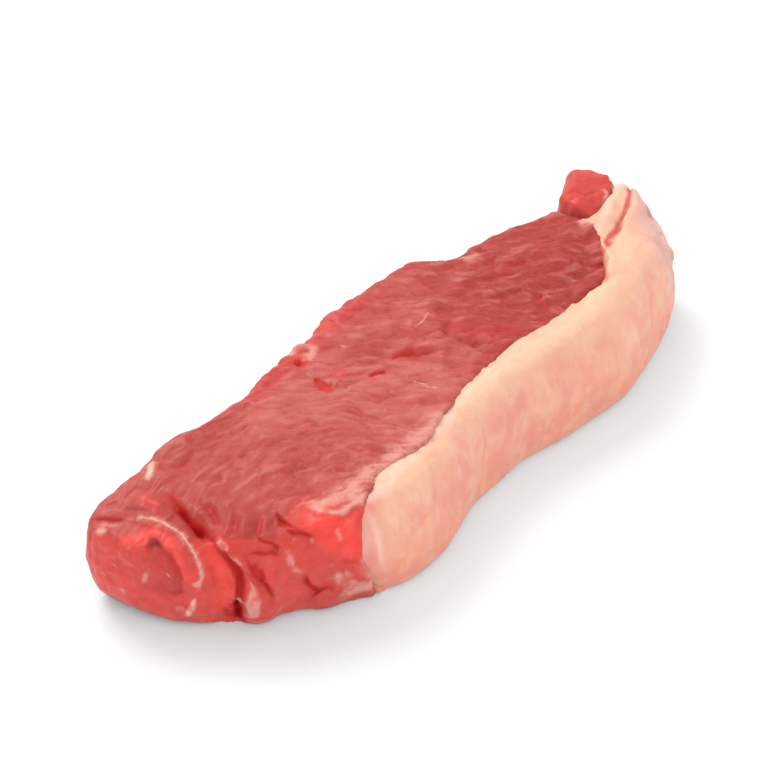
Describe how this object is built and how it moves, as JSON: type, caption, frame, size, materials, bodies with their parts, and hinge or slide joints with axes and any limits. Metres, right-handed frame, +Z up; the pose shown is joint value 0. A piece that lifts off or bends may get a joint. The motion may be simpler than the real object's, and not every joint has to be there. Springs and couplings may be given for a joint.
{
  "type": "raw sirloin steak",
  "caption": "Thick-cut raw sirloin steak: long lean muscle with a cap of fat down its side and round the tapered end, where a small muscle sits in the fat.",
  "frame": {"origin": "under the middle of the steak's box, on the surface that it lies on", "axes": "+X along the steak from its blunt end to its tapered end, +Y from the fat side to the bare side, +Z up through the slice's thickness"},
  "size_m": [0.196, 0.0676, 0.032],
  "materials": {
    "lean_meat": "moist raw meat, soft sheen",
    "fat": "waxy, slightly moist fat"
  },
  "bodies": {
    "root": {"lean": "lean_meat", "fat_cap": "fat", "end_muscle": "lean_meat"}
  },
  "joints": []
}
